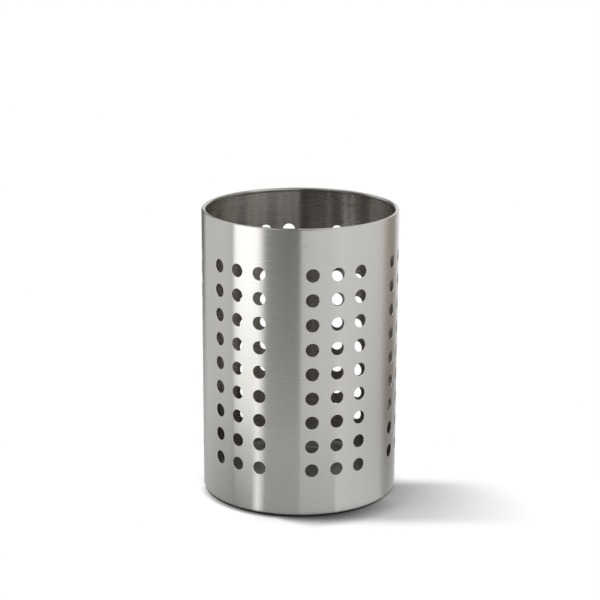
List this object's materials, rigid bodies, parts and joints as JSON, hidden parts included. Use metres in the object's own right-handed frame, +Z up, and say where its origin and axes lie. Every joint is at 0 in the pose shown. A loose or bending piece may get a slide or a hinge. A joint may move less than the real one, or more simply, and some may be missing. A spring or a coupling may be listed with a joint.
{
  "type": "utensil holder",
  "caption": "Open-topped round utensil holder of brushed stainless steel sheet, with round holes in groups through its wall, a curled rim and a pressed base.",
  "frame": {"origin": "on the floor under the can's axis, at the middle of the standing lip", "axes": "+Z up along the can's axis; -Y to the front, at a blank strip between two groups of holes; +Y to the back, at the strip that holds the side seam"},
  "size_m": [0.121, 0.121, 0.178],
  "materials": {
    "brushed_stainless": "brushed round the body",
    "base_stainless": "satin, as rolled and pressed",
    "ground_weld": "ground flush and brushed",
    "spot_weld": "dull, slightly heat tinted"
  },
  "bodies": {
    "root": {"perforated_wall": "brushed_stainless", "base_pan": "base_stainless", "side_seam_weld": "ground_weld", "base_spot_welds": "spot_weld"}
  },
  "joints": []
}
